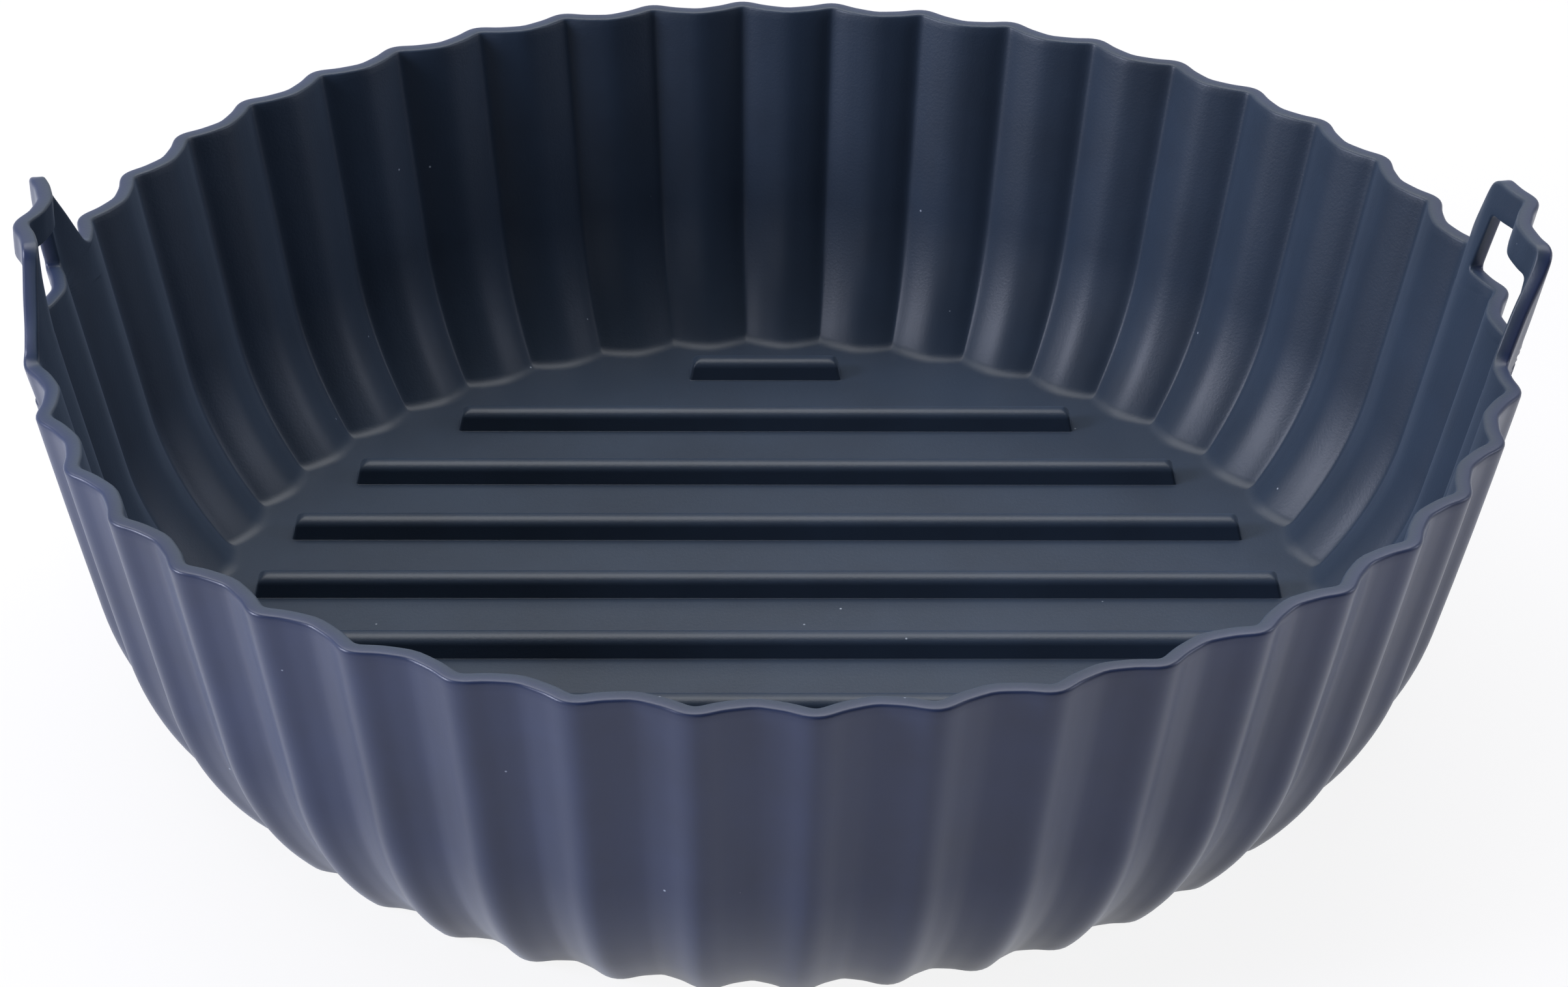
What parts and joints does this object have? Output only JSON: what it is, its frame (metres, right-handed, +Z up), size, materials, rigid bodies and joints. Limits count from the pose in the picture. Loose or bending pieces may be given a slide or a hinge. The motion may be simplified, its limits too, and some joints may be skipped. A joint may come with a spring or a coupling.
{
  "type": "air fryer liner",
  "caption": "Round silicone liner for an air fryer basket, with a fluted sloping wall, straight ribs on its floor and two slotted handles that stand on the rim.",
  "frame": {"origin": "middle of the flat underside, which lies on z = 0", "axes": "+Z up out of the open top, +X towards one handle and along the floor's ribs, +Y across the ribs"},
  "size_m": [0.2182, 0.212, 0.0711],
  "materials": {
    "silicone": "matt, slate blue-grey"
  },
  "bodies": {
    "root": {"liner": "silicone"}
  },
  "joints": []
}
